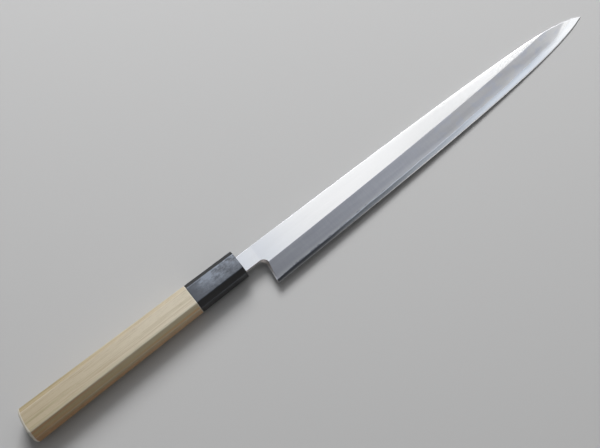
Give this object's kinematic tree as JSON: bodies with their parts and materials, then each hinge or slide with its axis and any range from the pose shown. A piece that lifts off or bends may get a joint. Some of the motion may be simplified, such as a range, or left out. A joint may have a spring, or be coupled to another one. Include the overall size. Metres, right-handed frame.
{
  "type": "fuguhiki knife",
  "caption": "Slim single-bevel slicing knife for raw fish: laminated steel blade with a hollow-ground back, dark horn ferrule and tapered octagonal wooden handle.",
  "frame": {"origin": "middle of the knife's overall length and width, level with the lowest edge of the handle's back face", "axes": "+X from the butt to the tip along the handle's axis, +Y from the cutting edge to the spine, +Z out of the bevelled front, so the knife lies on its back"},
  "size_m": [0.393, 0.0324, 0.0172],
  "materials": {
    "magnolia_wood": "planed and lightly sanded, unvarnished",
    "buffalo_horn": "satin polished dark horn",
    "soft_iron": "polished flat, matt bevel",
    "edge_steel": "fine polished"
  },
  "bodies": {
    "root": {"wood_handle": "magnolia_wood", "horn_ferrule": "buffalo_horn", "blade_soft_iron": "soft_iron", "blade_edge_steel": "edge_steel"}
  },
  "joints": []
}
